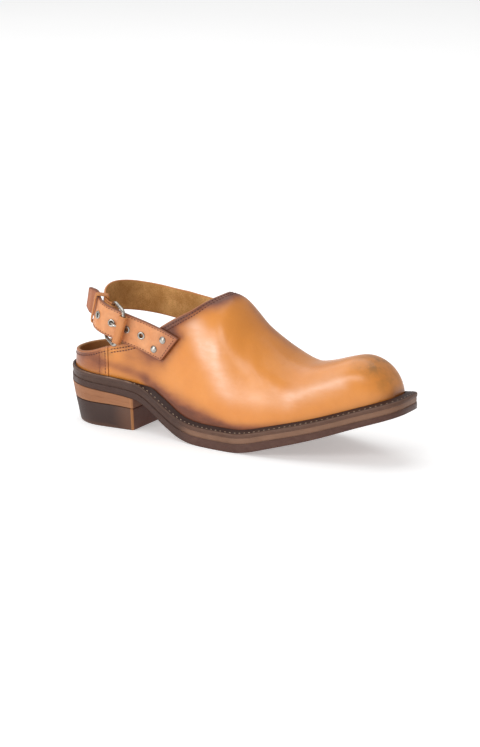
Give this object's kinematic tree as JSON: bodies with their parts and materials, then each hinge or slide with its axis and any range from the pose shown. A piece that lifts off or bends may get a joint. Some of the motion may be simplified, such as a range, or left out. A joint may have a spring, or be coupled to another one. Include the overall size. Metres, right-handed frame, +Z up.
{
  "type": "leather slingback mule",
  "caption": "Right shoe of a tan leather slingback mule with a closed toe, buckled heel strap, welted sole and low stacked heel.",
  "frame": {"origin": "on the floor, under the middle of the shoe's bounding box", "axes": "+X towards the toe, +Y towards the inner side of the foot, +Z up"},
  "size_m": [0.3076, 0.0946, 0.1183],
  "materials": {
    "tan_leather": "burnished smooth calf leather, satin",
    "suede_lining": "flesh side suede and insole sock, matt",
    "dark_sole_edge": "inked and waxed sole edge, low sheen",
    "outsole_edge": "red-brown leather outsole, low sheen",
    "stacked_leather": "natural stacked leather, satin",
    "nickel": "aged nickel, half gloss"
  },
  "bodies": {
    "root": {"outsole": "outsole_edge", "midsole": "dark_sole_edge", "welt": "dark_sole_edge", "heel_rand": "dark_sole_edge", "heel_wedge": "stacked_leather", "heel_block": "dark_sole_edge", "upper": "tan_leather", "insole": "suede_lining", "back_strap": "suede_lining", "buckle_tab": "tan_leather", "bar_sleeve": "tan_leather", "strap_keeper": "tan_leather", "buckle_frame": "nickel", "buckle_prong": "nickel", "eyelet_1": "nickel", "eyelet_2": "nickel", "eyelet_3": "nickel", "eyelet_4": "nickel", "rivet_1": "nickel", "rivet_2": "nickel"}
  },
  "joints": []
}
